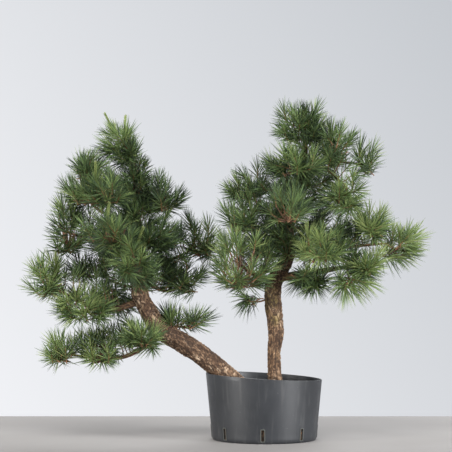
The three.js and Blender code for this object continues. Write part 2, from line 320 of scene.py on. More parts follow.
reach_in, reach_out = -(FOOT_RADIUS - 25 * MM), -(FOOT_RADIUS + 25 * MM)
plates = ring_of_blocks(
    SLOT_WIDTH + 2 * BORDER, SLOT_LOW - BORDER, SLOT_HIGH + BORDER, reach_out, reach_in, 4 * MM, True
)
holes = ring_of_blocks(SLOT_WIDTH, SLOT_LOW, SLOT_HIGH, reach_out, reach_in, 2.5 * MM, False)
pot_mesh = changed_by(pot_mesh, ("UNION", plates), ("DIFFERENCE", holes))
worn = pot_mesh.verts.layers.float.new("worn")
for vert in pot_mesh.verts:  # the raised borders get rubbed and hold dust
    low_down = vert.co.z < SLOT_HIGH + BORDER + MM
    vert[worn] = float(low_down and vert.co.xy.length > wall_radius(max(0, vert.co.z)) + 0.5 * PROUD)
print("pot with", SLOTS, "slots has", len(pot_mesh.faces), "faces")

# %% [markdown]
# ## Moulded plastic with dust and scuffs
# Recycled plastic is almost black-grey with a satin skin. Handling leaves pale scuffs, watering leaves dusty
# runs, and the rounded foot keeps a brown-grey band of dried splashes. All of it is noise in object space:
# stretched noise for the runs, small noise for the scuffs, and height above the floor for the dust band.


# %% Pot material
def plastic_material():
    material, tree, shader, where = new_material("pot_plastic")
    height = add(tree, "ShaderNodeSeparateXYZ", {0: where}).outputs["Z"]
    clouds = cloud(tree, where, 9, 4)
    colour = ramp(tree, clouds, [(0.3, (0.017, 0.019, 0.0225)), (0.7, (0.028, 0.0305, 0.035))])
    runs = fade(tree, cloud(tree, where, 1, 4, (70, 70, 5)), (0.52, 0), (0.75, 0.5))
    colour = blend(tree, runs, colour, (0.085, 0.085, 0.085))
    band_edge = calculate(tree, "MULTIPLY_ADD", cloud(tree, where, 55, 4), 0.016)
    above = calculate(tree, "ADD", height, band_edge)
    dust = fade(tree, calculate(tree, "MULTIPLY", above, 20), (0.50, 0.9), (0.74, 0))
    speckle = fade(tree, cloud(tree, where, 420, 3), (0.42, 0.35), (0.62, 1))
    dust = blend(tree, 1.0, dust, speckle, "MULTIPLY")
    colour = blend(tree, dust, colour, (0.16, 0.135, 0.11))
    scuffs = fade(tree, cloud(tree, where, 60, 6, (1, 1, 2.2)), (0.70, 0), (0.78, 0.55))
    colour = blend(tree, scuffs, colour, (0.22, 0.22, 0.22))
    rubbed = add(tree, "ShaderNodeAttribute", attribute_name="worn").outputs["Fac"]
    colour = blend(tree, calculate(tree, "MULTIPLY", rubbed, 0.8), colour, (0.085, 0.090, 0.080))
    roughness = fade(tree, cloud(tree, where, 38, 5), (0.3, 0.40), (0.7, 0.50))
    roughness = blend(tree, dust, roughness, grey(0.85))
    grain = calculate(tree, "ADD", cloud(tree, where, 900, 2), calculate(tree, "MULTIPLY", clouds, 6))
    shader.inputs["Specular IOR Level"].default_value = 0.6
    finish_shader(tree, shader, colour, roughness, grain, 0.0003, 0.35)
    return material


pot = hand_over("nursery_pot", pot_mesh, plastic_material(), ["pot"], sharp=35)
print("pot", faces_of(pot), "triangles")

# %% [markdown]
# ## The soil
# Potting mix is coarse: bark chips, pumice and old needles. It fills the pot to 30 mm under the rim and is a
# little higher in the middle. The outline is turned with many rings on top, and each vertex there is lifted
# by a cell pattern, so that single crumbs stand up.
# %% Soil
BELOW_RIM = 30 * MM
SOIL_TOP = POT_HEIGHT - BELOW_RIM
SOIL_CROWN = 7 * MM
SOIL_GAP = WALL + 0.6 * MM
SOIL_RINGS = 64


def soil_outline():
    rim = wall_radius(SOIL_TOP) - SOIL_GAP
    rings = [ring / SOIL_RINGS for ring in range(SOIL_RINGS + 1)]
    top = [(rim * (1 - share), SOIL_TOP + SOIL_CROWN * (1 - (1 - share) ** 2)) for share in rings]
    side = [(wall_radius(z * MM) - SOIL_GAP, z * MM) for z in range(5, 175, 5)]
    return [(0, FLOOR + 0.5 * MM)] + side + top


def roughen_soil(bm):
    tone = bm.verts.layers.float.new("crumb")
    for vert in bm.verts:
        near, cells = noise.voronoi(vert.co * 115)
        crumb = noise.cell(cells[0] * 7.3)
        vert[tone] = 0.5 + 0.5 * crumb
        if vert.co.z > SOIL_TOP - 2 * MM and vert.co.xy.length < wall_radius(SOIL_TOP) - 6 * MM:
            lump = max(0, 0.45 - near[0]) * (0.5 + 0.8 * abs(crumb))
            vert.co.z += 9 * MM * lump + 4 * MM * noise.noise(vert.co * 16) - 2 * MM


def soil_material():
    material, tree, shader, where = new_material("soil_mix")
    crumb = add(tree, "ShaderNodeAttribute", attribute_name="crumb").outputs["Fac"]
    colour = ramp(
        tree, crumb,
        [(0.0, (0.020, 0.014, 0.010)), (0.45, (0.055, 0.036, 0.024)), (0.8, (0.11, 0.07, 0.042)),
         (1.0, (0.20, 0.16, 0.12))],
    )
    roots = cloud(tree, where, 1, 3, (160, 160, 40))
    root_share = fade(tree, roots, (0.60, 0), (0.66, 0.8))
    colour = blend(tree, root_share, colour, (0.26, 0.13, 0.06))
    fine = cloud(tree, where, 700, 4)
    shade = fade(tree, fine, (0.3, 0.45), (0.7, 1.2))
    colour = blend(tree, 1.0, colour, shade, "MULTIPLY")
    roughness = fade(tree, fine, (0.3, 0.85), (0.7, 1.0))
    finish_shader(tree, shader, colour, roughness, fine, 0.002, 0.8)
    return material


soil_mesh = spun(soil_outline(), 220)
roughen_soil(soil_mesh)
soil = hand_over("potting_soil", soil_mesh, soil_material(), ["soil"], sharp=180)
print("soil", faces_of(soil), "triangles")

# %% [markdown]
# ## How the two pines grow
# Each tree is laid out from its own base point, in millimetres. A trunk's points are x, y, z and diameter,
# from the buried root to the tip. A bough leaves the trunk at a share of its length and passes a middle point
# to its tip. The clumps of needles are already in the frame, so they aren't listed again.
# %% Trunks and boughs
LEAN = math.radians(38)
RIM_CLEARANCE = 6  # between the leaning trunk and the rim below it
TREE_SPACING = 226  # from the leaning trunk where it passes over the rim to the upright trunk
OVER_RIM = 33 / math.cos(LEAN) + RIM_CLEARANCE  # from the rim up to the middle of the leaning trunk
RIM_TOP = POT_HEIGHT + RIM_RADIUS * RIM_RISE  # at the leaning trunk, where the rim is highest
LEANING_BASE = Vector((-RIM_RADIUS / MM, 0, RIM_TOP / MM + OVER_RIM))
UPRIGHT_BASE = Vector((TREE_SPACING - RIM_RADIUS / MM, 0, SOIL_TOP / MM))

LEANING_TRUNK = [
    (150, 0, -145, 84), (85, 0, -76, 72), (0, 0, 0, 66), (-86, -4, 54, 66), (-142, -8, 88, 65),
    (-171, -10, 121, 62), (-194, -10, 161, 59), (-214, -10, 203, 57), (-220, -8, 246, 54),
    (-228, 0, 315, 48), (-218, 8, 387, 42), (-235, 12, 470, 36), (-225, 8, 552, 29), (-241, 0, 634, 21),
    (-254, -4, 696, 12), (-250, -6, 738, 7),
]
LEANING_BOUGHS = [  # share along the trunk, middle, tip, diameter, diameter at the tip
    (0.35, (-270, -30, 5), (-470, -35, 15), 20, 7),
    (0.47, (-335, -25, 160), (-490, -30, 225), 26, 9),
    (0.51, (-295, 50, 245), (-395, 95, 295), 12, 5),
    (0.54, (-125, 5, 220), (-40, 20, 270), 14, 6),
    (0.58, (-100, 25, 330), (-10, 45, 380), 16, 6),
    (0.62, (-340, 5, 370), (-460, 15, 415), 18, 7),
    (0.63, (-240, -75, 360), (-285, -130, 395), 15, 6),
    (0.68, (-255, 75, 395), (-290, 125, 390), 14, 6),
    (0.73, (-335, -20, 475), (-420, -25, 550), 15, 6),
    (0.78, (-200, 0, 530), (-125, 0, 530), 13, 6),
]
UPRIGHT_TRUNK = [
    (3, 0, -56, 62), (0, 0, 3, 50), (-3, 0, 115, 44), (2, 2, 164, 51), (-8, 4, 292, 57), (-5, 4, 335, 56),
    (17, 2, 371, 51), (36, 0, 404, 47), (46, -4, 443, 44), (43, -6, 502, 40), (59, -4, 581, 34),
    (82, 2, 667, 28), (99, 6, 766, 20), (99, 4, 851, 12), (92, 0, 900, 7),
]
UPRIGHT_BOUGHS = [
    (0.41, (-65, -35, 360), (-130, -70, 405), 20, 8),
    (0.42, (155, -30, 375), (280, -55, 395), 30, 9),
    (0.54, (175, -20, 450), (365, 0, 465), 20, 7),
    (0.56, (5, 75, 485), (-20, 125, 495), 13, 6),
    (0.60, (105, 75, 520), (175, 130, 525), 14, 6),
    (0.64, (50, -75, 560), (40, -125, 580), 14, 6),
    (0.65, (-15, -25, 565), (-100, -45, 575), 15, 6),
    (0.72, (-10, 0, 640), (-95, 15, 670), 13, 6),
    (0.79, (160, -35, 705), (230, -60, 650), 14, 6),
    (0.84, (200, 15, 735), (300, 30, 730), 9, 5),
]

# %% [markdown]
# ## A smooth line through a few points
# A limb bends softly, so its centre line is a centripetal Catmull-Rom curve: it passes through every point
# and never loops. It is walked in even steps, and the diameter goes along as a fourth coordinate.


# %% Centre lines
def between(first, second, low, high, t):
    return ((high - t) * first + (t - low) * second) / (high - low)


def smooth_line(points, step):
    """Rows of x, y, z and diameter, a step apart, on a smooth line through the points."""
    rows = np.array(points, dtype=float)
    rows = np.vstack([2 * rows[0] - rows[1], rows, 2 * rows[-1] - rows[-2]])
    fine = []
    for i in range(1, len(rows) - 2):
        four = rows[i - 1 : i + 3]
        knots = np.cumsum([0] + [np.linalg.norm(b[:3] - a[:3]) ** 0.5 for a, b in zip(four, four[1:])])
        for t in np.linspace(knots[1], knots[2], 20, endpoint=False):
            three = [between(four[k], four[k + 1], knots[k], knots[k + 1], t) for k in range(3)]
            two = [between(three[k], three[k + 1], knots[k], knots[k + 2], t) for k in range(2)]
            fine.append(between(two[0], two[1], knots[1], knots[2], t))
    fine = np.array(fine + [rows[-2]])
    lengths = np.concatenate([[0], np.cumsum(np.linalg.norm(np.diff(fine[:, :3], axis=0), axis=1))])
    count = max(3, int(round(lengths[-1] / step)) + 1)
    even = np.linspace(0, lengths[-1], count)
    return np.column_stack([np.interp(even, lengths, fine[:, column]) for column in range(4)])


def limb_points(base, trunk, boughs):
    """The trunk's and each bough's points in metres."""
    placed = [tuple((base + Vector(row[:3])) * MM) + (row[3] * MM,) for row in trunk]
    limbs = [placed]
    line = smooth_line(placed, 2 * MM)
    for share, middle, tip, diameter, tip_diameter in boughs:
        start = line[int(share * (len(line) - 1))][:3]
        limbs.append([
            (*start, diameter * MM),
            (*((base + Vector(middle)) * MM), (diameter + tip_diameter) / 2 * MM),
            (*((base + Vector(tip)) * MM), tip_diameter * MM),
        ])
    return limbs


leaning_limbs = limb_points(LEANING_BASE, LEANING_TRUNK, LEANING_BOUGHS)
upright_limbs = limb_points(UPRIGHT_BASE, UPRIGHT_TRUNK, UPRIGHT_BOUGHS)
print("limbs", len(leaning_limbs), "and", len(upright_limbs))

# %% [markdown]
# ## Wood with real plates
# Old pine bark breaks into flaky plates, longer than they are wide, with dark cracks between. A limb is a
# flat grid rolled round its centre line, and a cell pattern that is stretched along the limb lifts each
# plate. Every vertex also stores numbers for the material: crack, tone of the plate, moss, and age.


# %% Roll a limb
BARK_FACTS = ("crack", "plate", "moss", "age")


def frames_along(line):
    """A side and an upper direction for each ring, carried along so that the limb doesn't twist."""
    tangents = np.gradient(line[:, :3], axis=0)
    frames = []
    side = Vector((0, -1, 0))
    for tangent in tangents:
        forward = Vector(tangent).normalized()
        side = (side - forward * side.dot(forward)).normalized()
        frames.append((side.copy(), forward.cross(side)))
    return frames


def rolled_limb(bm, points, sides, step):
    """A grid rolled to a tube, and for each vertex its radius, outward way and place on a straight limb."""
    line = smooth_line(points, step)
    frames = frames_along(line)
    count = len(line)
    grid = bmesh.ops.create_grid(bm, x_segments=sides, y_segments=count - 1, size=0.5)["verts"]
    facts = {}
    for vert in grid:
        ring = round((vert.co.y + 0.5) * (count - 1))
        angle = math.tau * (vert.co.x + 0.5)
        x, y, z, diameter = line[ring]
        side, upper = frames[ring]
        out = side * math.cos(angle) + upper * math.sin(angle)
        radius = diameter / 2
        straight = Vector((math.cos(angle) * radius, math.sin(angle) * radius, ring * step))
        facts[vert] = (radius, out, straight)
        vert.co = Vector((x, y, z)) + out * radius
    return facts


def close_tube(bm, seam):
    """Joins the grid's two long edges, caps its ends and turns every face outwards."""
    bmesh.ops.remove_doubles(bm, verts=bm.verts, dist=seam)
    bmesh.ops.holes_fill(bm, edges=[edge for edge in bm.edges if edge.is_boundary], sides=0)
    bmesh.ops.recalc_face_normals(bm, faces=bm.faces)


def flakes(cell, sharp):
    """How far inside its cell a point lies, 0 at the crack, and a steady random number for the cell."""
    near, centres = noise.voronoi(cell)
    return min(1, (near[1] - near[0]) / sharp), noise.cell(centres[0] * 5.7)


PLATE_LENGTH = 2.5  # in widths of a plate
BARK_DEPTH = 4 * MM
PATCH = 38 * MM  # size of the larger lighter and darker areas
YOUNG, OLD = 8 * MM, 31 * MM  # radii of limbs with wholly young and wholly old bark
MOSS_HEIGHT = 440 * MM  # the damp side under the lowest bough
MOSS_SPREAD = 130 * MM


def barked_limb(points, sides, step, seed, moss_side=None):
    bm = bmesh.new()
    layers = bm.verts.layers.float
    for name in BARK_FACTS:
        layers.new(name)
    crack, tone, moss, age = (layers[name] for name in BARK_FACTS)
    facts = rolled_limb(bm, points, sides, step)
    shift = Vector((seed * 3.1, seed * 1.7, 0))
    for vert, (radius, out, straight) in facts.items():
        wide = 4 * MM + 0.20 * radius  # plates are broader on thick wood
        warp = noise.turbulence_vector(straight / (1.6 * wide), 3, False) * 0.6
        tall = wide * PLATE_LENGTH
        cell = Vector((straight.x / wide, straight.y / wide, straight.z / tall)) + warp + shift
        edge, plate = flakes(cell, 0.40)
        small_edge, flake = flakes(cell * 2.3 + shift, 0.34)
        ridge = noise.hetero_terrain(straight / (0.9 * wide), 1.0, 2.1, 4, 0.4) * 0.12
        lift = edge ** 0.7 * (0.55 + 0.30 * plate) + small_edge * (0.20 + 0.22 * flake) + ridge
        swell = noise.noise(straight / (2.4 * radius + 0.02)) * 0.10 * radius
        depth = min(BARK_DEPTH, 0.15 * radius)
        vert.co += out * (depth * (lift - 0.75) + swell)
        vert[crack] = min(1, edge * (0.45 + 0.75 * small_edge) + 0.25 * abs(ridge))
        patch = noise.noise(straight / PATCH + shift)
        # Plates and flakes that are lifted higher also get a lighter tone: partly the bark's own colour,
        # partly painted highlight.
        vert[tone] = 0.43 + 0.17 * plate + 0.34 * flake + 0.5 * ridge + 0.42 * patch
        vert[age] = min(1, max(0, (radius - YOUNG) / (OLD - YOUNG)))
        if moss_side is not None:
            height = 1 - min(1, abs(vert.co.z - MOSS_HEIGHT) / MOSS_SPREAD)
            vert[moss] = height * max(0, out.dot(moss_side)) * (0.8 + noise.noise(vert.co * 30))
    close_tube(bm, 2e-5)
    return bm


TRUNK_GRID = (100, 2.9 * MM)  # sides, and step between rings
BOUGH_GRID = (26, 4.5 * MM)


def wood_of(limbs, seed, moss_side):
    whole = bmesh.new()
    for name in BARK_FACTS:
        whole.verts.layers.float.new(name)
    join_into(whole, barked_limb(limbs[0], *TRUNK_GRID, seed, moss_side))
    for number, points in enumerate(limbs[1:]):
        join_into(whole, barked_limb(points, *BOUGH_GRID, seed + 1 + number))
    return whole


# %% [markdown]
# ## Bark colours
# Plates are tan to grey-brown, and thin bark on young wood is redder. Cracks are painted almost black-brown:
# partly the bark's own darker colour, partly painted shade laid into the fissures over their real depth;
# raised flakes are painted lighter, partly painted highlight. Yellow-green moss sits on one side of the
# upright trunk.
# The material reads the numbers stored while the bark was raised, so colour and relief always agree, and adds
# fine noise on top.


# %% Bark material
def bark_material():
    material, tree, shader, where = new_material("pine_bark")

    def stored(name):
        return add(tree, "ShaderNodeAttribute", attribute_name=name).outputs["Fac"]

    fine = cloud(tree, where, 260, 6)
    broad = cloud(tree, where, 26, 3)
    tone = calculate(tree, "ADD", stored("plate"), calculate(tree, "MULTIPLY_ADD", fine, 0.5))
    tone = calculate(tree, "SUBTRACT", tone, 0.75)
    old = ramp(
        tree, tone,
        [(0.0, (0.052, 0.027, 0.015)), (0.35, (0.128, 0.070, 0.038)), (0.65, (0.265, 0.165, 0.098)),
         (1.0, (0.530, 0.390, 0.270))],
    )
    young = ramp(tree, tone, [(0.1, (0.100, 0.050, 0.024)), (0.8, (0.270, 0.160, 0.080))])
    age_share = calculate(tree, "ADD", stored("age"), calculate(tree, "SUBTRACT", broad, 0.5))
    colour = blend(tree, fade(tree, age_share, (0.35, 0), (0.90, 1)), young, old)
    moss_share = calculate(tree, "MULTIPLY", stored("moss"), calculate(tree, "MULTIPLY", fine, 2))
    moss_share = fade(tree, moss_share, (0.20, 0), (0.80, 0.65))
    colour = blend(tree, moss_share, colour, (0.190, 0.150, 0.040))
    # Near the cracks the colour is darkened towards black-brown: partly the bark's own colour, partly painted
    # shade.
    depth = calculate(tree, "ADD", stored("crack"), calculate(tree, "MULTIPLY", fine, 0.5))
    crack_colour_and_painted_shade = fade(tree, calculate(tree, "SUBTRACT", depth, 0.25), (0.08, 0.95), (0.64, 0))
    colour = blend(tree, crack_colour_and_painted_shade, colour, (0.036, 0.019, 0.011))
    roughness = fade(tree, fine, (0.3, 0.78), (0.7, 0.95))
    finish_shader(tree, shader, colour, roughness, fine, 0.0025, 0.9)
    return material


bark = bark_material()
moss_side = Vector((-0.3, -1, 0)).normalized()
leaning_wood = hand_over(
    "leaning_tree_trunk", wood_of(leaning_limbs, 1, None), bark, ["leaning_tree_wood"], sharp=180
)
upright_wood = hand_over(
    "upright_tree_trunk", wood_of(upright_limbs, 31, moss_side), bark, ["upright_tree_wood"],
    sharp=180,
)
print("wood", faces_of(leaning_wood), "and", faces_of(upright_wood), "triangles")

# %% [markdown]
# ## One needle
# A pine needle is a slim blade that tapers to a point and bows slightly. There are tens of thousands of them,
# so one needle has only seven vertices: a three-sided cone, cut once across and bowed there. Its UV map holds
# its tone across and the way from sheath to tip along, and the material reads nothing else.
# %% Needle
TONES = "OFBake"  # the UV map that holds the needles' tones; the export keeps a UV map of this name as it is


def toned_bmesh():
    bm = bmesh.new()
    return bm, bm.loops.layers.uv.new(TONES)


def around(turn):
    """A level direction, turned about the Z axis."""
    return Vector((math.cos(turn), math.sin(turn), 0))


def paint(bm, layer, faces, tone, bottom, top):
    """Writes tone and the share of the way up into the UV map of some faces."""
    for face in faces:
        for number, loop in enumerate(face.loops):
            up = (loop.vert.co.z - bottom) / (top - bottom)
            loop[layer].uv = (tone + 0.01 * (number % 3 - 1), min(1, max(0, up)))


def make_needle():
    bm, layer = toned_bmesh()
    bmesh.ops.create_cone(bm, cap_ends=True, segments=3, radius1=0.42, radius2=0, depth=1)
    bmesh.ops.translate(bm, vec=(0, 0, 0.5), verts=bm.verts)
    everything = bm.verts[:] + bm.edges[:] + bm.faces[:]
    cut = bmesh.ops.bisect_plane(bm, geom=everything, plane_co=(0, 0, 0.5), plane_no=(0, 0, 1))
    middle = [item for item in cut["geom_cut"] if isinstance(item, bmesh.types.BMVert)]
    bmesh.ops.scale(bm, vec=(2.3, 2.3, 1), verts=middle)
    bmesh.ops.recalc_face_normals(bm, faces=bm.faces)
    paint(bm, layer, bm.faces, 0.0, 0, 1)
    return mesh_from("needle", bm)


needle = make_needle()
print("one needle", len(needle.vertices), "vertices")

# %% [markdown]
# ## Shoots, the unit of a pine
# A shoot is a short red-brown stem with pairs of needles all round. The lowest stand far out and the last
# ones close round the bud, which gives the shaving-brush look. A few kinds are made once: dense, open and
# long ones, and a few with a candle, the pale new shoot. Each clump then gets turned and scaled copies.
# %% Shoot library
STEM_TONE = 0.95
BUD_TONE = 0.88
CANDLE_TONE = 0.84
NEEDLES_BELOW = 0.82  # tones under this are needles
NEEDLE_WIDTH = 2.2 * MM
GOLDEN = math.radians(137.5)


def copy_into(bm, template, matrix, tone_shift=0.0):
    """Adds a transformed copy of a mesh, with its needle tones shifted."""
    mesh = template.copy()
    mesh.transform(matrix)
    if tone_shift:
        values = np.empty(len(mesh.loops) * 2, dtype=np.float32)
        mesh.uv_layers[TONES].data.foreach_get("uv", values)
        tones = values[0::2]
        tones[:] = np.where(tones < NEEDLES_BELOW, np.clip(tones + tone_shift, 0.02, 0.80), tones)
        mesh.uv_layers[TONES].data.foreach_set("uv", values)
    bm.from_mesh(mesh)
    bpy.data.meshes.remove(mesh)


def cone_between(bm, layer, low, high, radius_low, radius_high, tone, sides=5):
    before = set(bm.faces)
    bmesh.ops.create_cone(
        bm, cap_ends=True, segments=sides, radius1=radius_low, radius2=radius_high, depth=high - low,
        matrix=Matrix.Translation((0, 0, (low + high) / 2)),
    )
    paint(bm, layer, [face for face in bm.faces if face not in before], tone, low, high)


def needle_matrix(start, direction, outward, width, length):
    across = (outward - direction * outward.dot(direction)).normalized()
    third = direction.cross(across)
    columns = Matrix((across * width, third * width, direction * length)).transposed()
    return Matrix.Translation(start) @ columns.to_4x4()


def make_shoot(name, rng, stem, pairs, spread, length, tone, candle=0.0):
    bm, layer = toned_bmesh()
    stem, length = stem * MM, length * MM
    cone_between(bm, layer, -6 * MM, stem, 2.1 * MM, 1.5 * MM, STEM_TONE)
    if candle:
        top = stem + candle * MM
        cone_between(bm, layer, stem, top, 2.9 * MM, 2.3 * MM, CANDLE_TONE, 6)
        cone_between(bm, layer, top, top + 6 * MM, 2.3 * MM, 0.3 * MM, CANDLE_TONE, 6)
        for number in range(int(candle)):  # young needles, still pressed to the candle
            outward = around(number * GOLDEN)
            start = UP * (stem + (0.15 + 0.8 * number / candle) * candle * MM) + outward * 2 * MM
            direction = (UP + outward * 0.28).normalized()
            matrix = needle_matrix(start, direction, outward, 2.0 * MM, 15 * MM)
            copy_into(bm, needle, matrix, 0.66 + rng.uniform(-0.06, 0.06))
    else:
        cone_between(bm, layer, stem, stem + 5 * MM, 1.9 * MM, 2.1 * MM, BUD_TONE)
        cone_between(bm, layer, stem + 5 * MM, stem + 11 * MM, 2.1 * MM, 0.3 * MM, BUD_TONE)
    for pair in range(pairs):
        share = (pair + 0.5) / pairs
        outward = around(pair * GOLDEN + rng.uniform(-0.3, 0.3))
        height = stem * (0.12 + 0.88 * share)
        angle = math.radians(spread * (1 - share ** 1.4) + 7 + rng.uniform(-8, 8))
        reach = length * rng.uniform(0.84, 1.08) * (0.88 + 0.12 * share)
        shade = tone + rng.gauss(0, 0.17)
        for fork in (-1, 1):
            lean = angle + math.radians(rng.uniform(-2, 2))
            twist = outward.copy()
            twist.rotate(Matrix.Rotation(fork * math.radians(rng.uniform(1, 4)), 3, "Z"))
            direction = (UP * math.cos(lean) + twist * math.sin(lean)).normalized()
            matrix = needle_matrix(UP * height, direction, outward, NEEDLE_WIDTH, reach)
            copy_into(bm, needle, matrix, shade + rng.gauss(0, 0.03))
    return mesh_from(name, bm)


chance = random.Random(7)


def shoots_of(kind, count, stem, pairs, spread, length, tone, candles=None):
    made = []
    for number in range(count):
        candle = candles[number] if candles else 0
        name, angles, height = f"{kind}_{number}", chance.uniform(*spread), chance.uniform(*stem)
        made.append(make_shoot(name, chance, height, pairs, angles, length, tone, candle))
    return made


SHOOTS = {
    "dense": shoots_of("dense", 6, (44, 60), 36, (44, 54), 72, 0.33),
    "open": shoots_of("open", 5, (34, 48), 25, (40, 54), 76, 0.29),
    "long": shoots_of("long", 4, (44, 62), 34, (50, 60), 88, 0.34),
    "candle": shoots_of("candle", 3, (34, 44), 36, (42, 50), 66, 0.34, (58, 70, 84)),
}
print("shoots", {kind: len(made[0].polygons) for kind, made in SHOOTS.items()})

# %% [markdown]
# ## Where the shoots stand
# Each clump in the frame says where its needles reach. Shoots fan out from a knot low on the side where the
# clump hangs on its limb, and their tips are spread evenly over the clump's surface, so outlines match the
# frame. Inner clumps are thin and painted dark, as painted shade; those in the light are dense and painted
# lighter, as painted light; and low ones droop.
# %% Clump form and painted light
# How light it is painted (painted light and shade), its shoots and their kinds, how far they droop and turn
# up, and how low they may point.
# Shift, in millimetres, and grow, as shares of the half sizes, go across and up.
DEFAULT = dict(
    tone=0.0, count=14, kinds="dense open open", candles=0, droop=0.05, lift=0.36, lowest=-0.80,
    shift=(0, 0), grow=(1, 1),
)
CLUMP_FORM_AND_PAINTED_LIGHT = {
    "leaning_tree": {
        "crown": dict(count=18, kinds="dense dense open", candles=2, shift=(-3, 0), grow=(1.05, 1)),
        "upper_left": dict(kinds="open dense", count=13, shift=(4, -14)),
        "shoulder_left": dict(tone=0.02, count=17, shift=(18, -4), grow=(1, 1.3)),
        "upper_front": dict(tone=-0.05, candles=1, count=17, shift=(0, 8)),
        "shoulder_right": dict(tone=-0.14, kinds="dense open", count=17, shift=(2, -4)),
        "mid_left": dict(kinds="dense open open", count=19, shift=(18, -14), grow=(0.95, 1.3)),
        "mid_front": dict(tone=-0.04, candles=1, count=19, shift=(-6, 6)),
        "mid_right": dict(tone=-0.1, kinds="dense open", shift=(8, 8)),
        "far_right": dict(tone=-0.02, kinds="open", count=12, shift=(-2, -2), grow=(1, 1.15)),
        "low_front": dict(tone=-0.01, candles=1, count=16),
        "low_right": dict(tone=-0.06, kinds="open dense", count=16, shift=(-14, 4), grow=(1.1, 1.15)),
        "far_left": dict(tone=0.12, candles=1, kinds="dense open", shift=(3, 12), grow=(1.0, 1.25), count=17),
        "low_left": dict(tone=0.17, count=22, shift=(-8, -4), grow=(1.08, 1.2)),
        "rear_left": dict(tone=-0.16, kinds="open", count=11),
        "trunk_front": dict(tone=0.1, shift=(-6, 8)),
        "lowest_left": dict(tone=0.16, kinds="open", count=13, shift=(14, 8)),
        "lowest": dict(tone=0.17, kinds="open open dense", count=13, shift=(2, 12)),
        "low_sprig": dict(tone=-0.05, kinds="open", count=15, droop=0.02, shift=(-10, 8), grow=(1.25, 1.2)),
        "upper_back": dict(tone=-0.16, kinds="open dense"),
    },
    "upright_tree": {
        "crown": dict(tone=0.02, count=22, shift=(-8, -8), grow=(1.08, 1.12)),
        "upper_right": dict(kinds="dense open", shift=(-16, -5)),
        "fan_right": dict(kinds="long open", count=6, droop=0.04, shift=(-12, 12), grow=(0.8, 1.1),
                          lowest=-0.3),
        "upper_front": dict(count=18, shift=(-6, 4), grow=(1.1, 1)),
        "upper_left": dict(tone=-0.06, shift=(12, -12)),
        "mid_left": dict(tone=-0.02, shift=(6, -4), grow=(1, 1.2), count=17),
        "mid_front": dict(tone=-0.08, count=17),
        "mid_right": dict(tone=0.1, kinds="dense long", shift=(-6, 6), count=16),
        "right": dict(tone=0.22, kinds="dense open", shift=(2, 14)),
        "far_right": dict(tone=0.16, kinds="dense long", droop=0.12, shift=(-6, 10)),
        "low_left": dict(tone=0.1, count=30, kinds="dense open", shift=(-4, -2), grow=(1.05, 1.35)),
        "low_back": dict(shift=(8, -10), grow=(1.1, 1.1), count=16),
        "low_front": dict(tone=0.15, kinds="long open dense", droop=0.14, count=18, shift=(2, 2),
                          grow=(1, 1.15)),
        "low_right": dict(tone=0.14, kinds="long dense", droop=0.12, shift=(-6, 4)),
        "under_right": dict(tone=-0.04, kinds="open long", count=12, droop=0.15, shift=(8, 18),
                            grow=(1.4, 1)),
        "lowest_right": dict(tone=0.1, kinds="long open", count=7, droop=0.22, shift=(-6, 26)),
        "low_sprig": dict(tone=-0.16, kinds="open", count=3, droop=0.25, shift=(-16, 26)),
    },
}


def clump_nodes(tree_name):
    return sorted(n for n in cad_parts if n.startswith(tree_name) and n.endswith("_foliage"))


print(len(clump_nodes("leaning_tree")), "and", len(clump_nodes("upright_tree")), "clumps")

# %% [markdown]
# ## Filling a clump
# The tips come from a spiral over a sphere, which spreads any number of points evenly. Tips that would point
# back at the limb or straight down are left out. After the copies are placed, every needle sags: its far end
# drops more than its near end, by the clump's droop.


# %% Fill a clump
def spiral_directions(count, turn):
    for number in range(count):
        z = 1 - 2 * (number + 0.5) / count
        ring = math.sqrt(1 - z * z)
        angle = number * GOLDEN + turn
        yield Vector((ring * math.cos(angle), ring * math.sin(angle), z))


def nearest_wood(skeleton, place):
    """The skeleton row that a clump at a place most likely hangs on: near, and not above it."""
    away = skeleton[:, :3] - np.array(place)
    cost = np.linalg.norm(away, axis=1) + np.maximum(0, away[:, 2]) * 0.8
    return skeleton[int(np.argmin(cost))]


REACH = 118 * MM  # of a full-size shoot, from its foot to the needle tips
SAGGING = 78 * MM  # the length of a needle, for its sag
ROOM = 258 * MM  # how far the needles may reach to the front and to the back


def stretched(direction, radii):
    return Vector([direction[i] * radii[i] for i in range(3)])


def jitter(rng, most):
    return Vector([rng.uniform(-most, most) for _ in range(3)])


def shoot_places(node, skeleton, facts, rng):
    """The knot of a clump, and for each shoot its tip, axis and size."""
    low, high = (Vector(corner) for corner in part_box(node))
    centre, radii = (low + high) / 2, (high - low) / 2
    (across, up), (wider, taller) = facts["shift"], facts["grow"]
    centre += Vector((across, 0, up)) * MM
    radii = stretched(radii, (wider, 1, taller))
    hold = Vector(nearest_wood(skeleton, centre)[:3])
    outward = (centre - hold).normalized() if (centre - hold).length > 0.02 else UP
    knot = centre - stretched(outward, radii) * 0.35 - UP * radii.z * 0.30
    places = []
    wanted = facts["count"]
    for direction in spiral_directions(int(wanted * 1.6), rng.uniform(0, 6)):
        if direction.dot(outward) < -0.60 or direction.z < facts["lowest"]:
            continue
        tip = centre + stretched(direction, radii) * rng.uniform(1.08, 1.34)
        axis = direction * 0.80 + UP * facts["lift"] + outward * 0.25
        axis = (axis + jitter(rng, 0.28)).normalized()
        size = rng.uniform(0.78, 1.04)
        base = tip - axis * REACH * size
        base.z = max(base.z, centre.z - radii.z * 0.72)
        places.append((base, axis, size))
    rng.shuffle(places)
    return knot, hold, places[:wanted]


def sag(bm, layer, droop):
    seen = {}
    for face in bm.faces:
        for loop in face.loops:
            if loop[layer].uv.x < NEEDLES_BELOW:
                seen[loop.vert] = loop[layer].uv.y
    for vert, along in seen.items():
        vert.co.z -= droop * SAGGING * along * along




